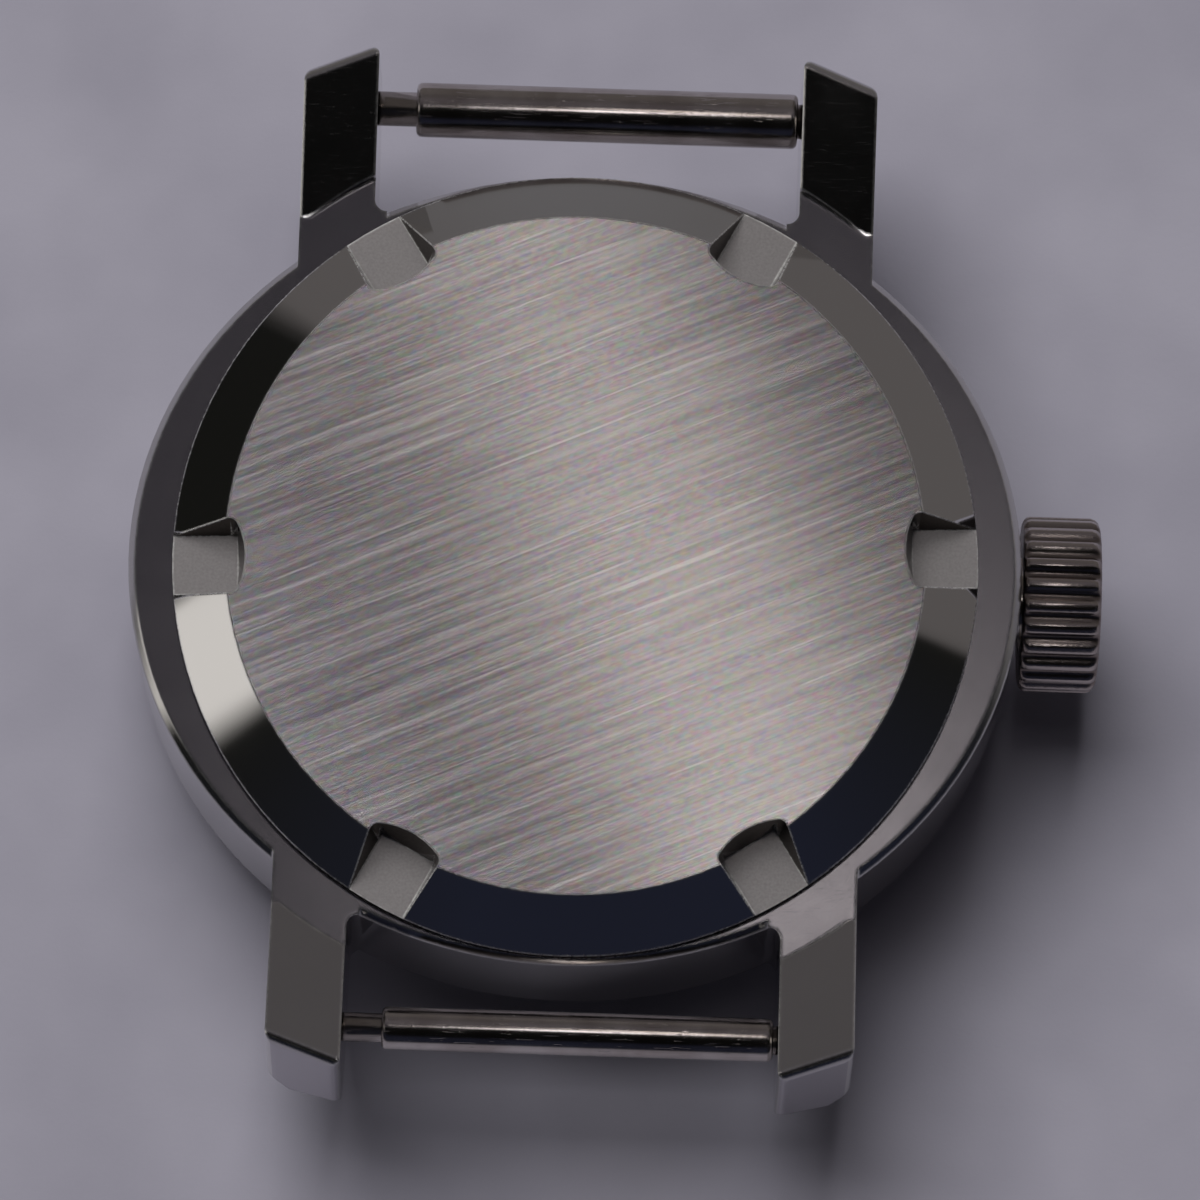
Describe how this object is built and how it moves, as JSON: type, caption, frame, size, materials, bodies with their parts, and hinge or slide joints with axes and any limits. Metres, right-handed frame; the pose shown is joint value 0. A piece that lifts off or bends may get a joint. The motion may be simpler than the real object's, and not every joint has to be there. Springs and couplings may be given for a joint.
{
  "type": "watch case",
  "caption": "Small oval steel watch case with a round screw back, lugs with sprung strap bars, a fluted crown and a hand-wound movement inside.",
  "frame": {"origin": "centre of the crystal's flat outer face, on which the case can lie", "axes": "+Z out of the case back, +X to the crown, +Y to the picture's top, where the thicker strap bar is; the dial's twelve is towards -Y"},
  "size_m": [0.0273, 0.03, 0.0084],
  "materials": {
    "case_steel": "dull fine brushing",
    "back_steel": "straight brushed flat, polished bevel",
    "crown_steel": "polished, warm with wear",
    "bar_steel": "turned and polished",
    "spring_steel": "bright spring steel",
    "movement_steel": "polished",
    "blued_steel": "heat blued",
    "gilt_brass": "fine frosted gilding",
    "wheel_brass": "circular grained",
    "crystal_glass": "clear",
    "dial_enamel": "smooth light lacquer",
    "jewel_red": "clear red, polished",
    "seal_black": "matt"
  },
  "bodies": {
    "case": {"case_middle": "case_steel", "crystal": "crystal_glass", "tension_ring": "movement_steel", "crown_tube": "case_steel", "movement_ring": "gilt_brass", "casing_clamps": "movement_steel", "dial": "dial_enamel", "hour_markers": "gilt_brass", "mainplate": "gilt_brass", "barrel_bridge": "gilt_brass", "click_spring": "spring_steel", "train_bridge": "gilt_brass", "pallet_bridge": "gilt_brass", "hairspring": "blued_steel", "balance_cock": "gilt_brass", "regulator": "movement_steel", "setting_bridge": "movement_steel", "movement_screws": "blued_steel", "jewels": "jewel_red"},
    "back_seal": {"case_back_gasket": "seal_black"},
    "back": {"case_back": "back_steel"},
    "crown_seal": {"crown_gasket": "seal_black"},
    "crown": {"crown": "crown_steel", "crown_washer": "wheel_brass", "winding_stem": "movement_steel"},
    "clutch": {"clutch_wheel": "movement_steel"},
    "winding_pinion": {"winding_pinion": "movement_steel"},
    "crown_wheel": {"crown_wheel": "movement_steel"},
    "winding_arbor": {"barrel_arbor": "movement_steel", "ratchet_wheel": "movement_steel", "ratchet_screw": "blued_steel"},
    "click": {"click": "movement_steel"},
    "setting_lever": {"setting_lever": "movement_steel"},
    "yoke": {"yoke": "movement_steel"},
    "fourth": {"fourth_wheel": "wheel_brass"},
    "third": {"third_wheel": "wheel_brass"},
    "center": {"center_wheel": "wheel_brass"},
    "barrel": {"barrel_drum": "wheel_brass", "mainspring": "spring_steel"},
    "escape": {"escape_wheel": "movement_steel"},
    "pallet": {"pallet_fork": "movement_steel"},
    "balance": {"balance_wheel": "wheel_brass"},
    "minute_work": {"cannon_pinion": "movement_steel", "minute_hand": "gilt_brass"},
    "minute_wheel": {"minute_wheel": "wheel_brass"},
    "hour_work": {"hour_wheel": "wheel_brass", "hour_hand": "gilt_brass"},
    "setting_wheel": {"setting_wheel": "wheel_brass"},
    "upper_bar": {"upper_bar_tube": "bar_steel", "upper_bar_spring": "spring_steel"},
    "upper_left_pivot": {"upper_bar_left_pivot": "bar_steel"},
    "upper_right_pivot": {"upper_bar_right_pivot": "bar_steel"},
    "lower_bar": {"lower_bar_tube": "bar_steel", "lower_bar_spring": "spring_steel"},
    "lower_left_pivot": {"lower_bar_left_pivot": "bar_steel"},
    "lower_right_pivot": {"lower_bar_right_pivot": "bar_steel"}
  },
  "joints": [
    {"name": "back_rise", "type": "slide", "parent": "case", "child": "back_seal", "axis": [0, 0, 1], "range_m": [0, 0.0014]},
    {"name": "back_unscrew", "type": "hinge", "parent": "back_seal", "child": "back", "pos_m": [0, 0, 0.007], "axis": [0, 0, 1], "range_deg": [0, 1440]},
    {"name": "crown_pull", "type": "slide", "parent": "case", "child": "crown_seal", "axis": [1, 0, 0], "range_m": [0, 0.0006]},
    {"name": "crown_turn", "type": "hinge", "parent": "crown_seal", "child": "crown", "pos_m": [0.01368, 0, 0.00435], "axis": [1, 0, 0], "continuous": true},
    {"name": "clutch_slide", "type": "slide", "parent": "crown", "child": "clutch", "axis": [1, 0, 0], "range_m": [-0.001, 0]},
    {"name": "winding_pinion_turn", "type": "hinge", "parent": "case", "child": "winding_pinion", "pos_m": [0.00647, 0, 0.00435], "axis": [1, 0, 0], "continuous": true},
    {"name": "crown_wheel_turn", "type": "hinge", "parent": "case", "child": "crown_wheel", "pos_m": [0.00475, 0, 0.00555], "axis": [0, 0, 1], "continuous": true},
    {"name": "arbor_turn", "type": "hinge", "parent": "case", "child": "winding_arbor", "pos_m": [0.0021, 0.00364, 0.0055], "axis": [0, 0, 1], "continuous": true, "deforming": ["mainspring"]},
    {"name": "click_swing", "type": "hinge", "parent": "case", "child": "click", "pos_m": [-0.00118, 0.00276, 0.0055], "axis": [0, 0, 1], "range_deg": [0, 8], "stiffness_Nm_per_rad": 0.00002, "deforming": ["click_spring"]},
    {"name": "setting_lever_turn", "type": "hinge", "parent": "case", "child": "setting_lever", "pos_m": [0.00775, -0.00142, 0.00334], "axis": [0, 0, 1], "range_deg": [-24, 0]},
    {"name": "yoke_turn", "type": "hinge", "parent": "case", "child": "yoke", "pos_m": [0.00557, -0.0026, 0.00334], "axis": [0, 0, 1], "range_deg": [0, 10.1]},
    {"name": "fourth_turn", "type": "hinge", "parent": "case", "child": "fourth", "pos_m": [-0.00401, -0.00272, 0.0045], "axis": [0, 0, 1], "continuous": true},
    {"name": "third_turn", "type": "hinge", "parent": "case", "child": "third", "pos_m": [-0.00359, 0.00031, 0.0045], "axis": [0, 0, 1], "continuous": true},
    {"name": "center_turn", "type": "hinge", "parent": "case", "child": "center", "pos_m": [0, 0, 0.0045], "axis": [0, 0, 1], "continuous": true},
    {"name": "barrel_turn", "type": "hinge", "parent": "case", "child": "barrel", "pos_m": [0.0021, 0.00364, 0.0047], "axis": [0, 0, 1], "continuous": true},
    {"name": "escape_turn", "type": "hinge", "parent": "case", "child": "escape", "pos_m": [-0.00228, -0.00478, 0.0045], "axis": [0, 0, 1], "continuous": true},
    {"name": "pallet_swing", "type": "hinge", "parent": "case", "child": "pallet", "pos_m": [-0.00064, -0.00418, 0.0046], "axis": [0, 0, 1], "range_deg": [-4, 4]},
    {"name": "balance_swing", "type": "hinge", "parent": "case", "child": "balance", "pos_m": [0.00156, -0.00437, 0.005], "axis": [0, 0, 1], "range_deg": [-220, 220], "stiffness_Nm_per_rad": 0.00000003, "deforming": ["hairspring"]},
    {"name": "minute_turn", "type": "hinge", "parent": "case", "child": "minute_work", "pos_m": [0, 0, 0.003], "axis": [0, 0, 1], "continuous": true},
    {"name": "minute_wheel_turn", "type": "hinge", "parent": "case", "child": "minute_wheel", "pos_m": [0.00192, 0, 0.0034], "axis": [0, 0, 1], "continuous": true},
    {"name": "hour_turn", "type": "hinge", "parent": "case", "child": "hour_work", "pos_m": [0, 0, 0.003], "axis": [0, 0, 1], "continuous": true},
    {"name": "setting_wheel_turn", "type": "hinge", "parent": "case", "child": "setting_wheel", "pos_m": [0.00432, 0, 0.0035], "axis": [0, 0, 1], "continuous": true},
    {"name": "upper_bar_turn", "type": "hinge", "parent": "case", "child": "upper_bar", "pos_m": [0.00048, 0.0133, 0.0067], "axis": [1, 0, 0], "continuous": true},
    {"name": "upper_left_pivot_press", "type": "slide", "parent": "upper_bar", "child": "upper_left_pivot", "axis": [1, 0, 0], "range_m": [0, 0.00085], "stiffness_N_per_m": 300, "deforming": ["upper_bar_spring"]},
    {"name": "upper_right_pivot_press", "type": "slide", "parent": "upper_bar", "child": "upper_right_pivot", "axis": [-1, 0, 0], "range_m": [0, 0.00085], "stiffness_N_per_m": 300, "deforming": ["upper_bar_spring"]},
    {"name": "lower_bar_turn", "type": "hinge", "parent": "case", "child": "lower_bar", "pos_m": [0.00048, -0.0133, 0.0067], "axis": [1, 0, 0], "continuous": true},
    {"name": "lower_left_pivot_press", "type": "slide", "parent": "lower_bar", "child": "lower_left_pivot", "axis": [1, 0, 0], "range_m": [0, 0.00085], "stiffness_N_per_m": 300, "deforming": ["lower_bar_spring"]},
    {"name": "lower_right_pivot_press", "type": "slide", "parent": "lower_bar", "child": "lower_right_pivot", "axis": [-1, 0, 0], "range_m": [0, 0.00085], "stiffness_N_per_m": 300, "deforming": ["lower_bar_spring"]}
  ],
  "couplings": [
    {"joint": "back_unscrew", "follows": "back_rise", "rad_per_m": 17952},
    {"joint": "clutch_slide", "follows": "crown_pull", "ratio": -1.5833},
    {"joint": "setting_lever_turn", "follows": "crown_pull", "rad_per_m": -694.67},
    {"joint": "yoke_turn", "follows": "crown_pull", "rad_per_m": 292.04},
    {"joint": "winding_pinion_turn", "follows": "crown_turn", "ratio": 1},
    {"joint": "crown_wheel_turn", "follows": "crown_turn", "ratio": -0.52632},
    {"joint": "arbor_turn", "follows": "crown_turn", "ratio": 0.38462},
    {"joint": "third_turn", "follows": "fourth_turn", "ratio": -0.13333},
    {"joint": "center_turn", "follows": "fourth_turn", "ratio": 0.016667},
    {"joint": "barrel_turn", "follows": "fourth_turn", "ratio": -0.0027778},
    {"joint": "escape_turn", "follows": "fourth_turn", "ratio": -10},
    {"joint": "minute_wheel_turn", "follows": "minute_turn", "ratio": -0.33333},
    {"joint": "hour_turn", "follows": "minute_turn", "ratio": 0.083333},
    {"joint": "setting_wheel_turn", "follows": "minute_turn", "ratio": 0.5}
  ]
}
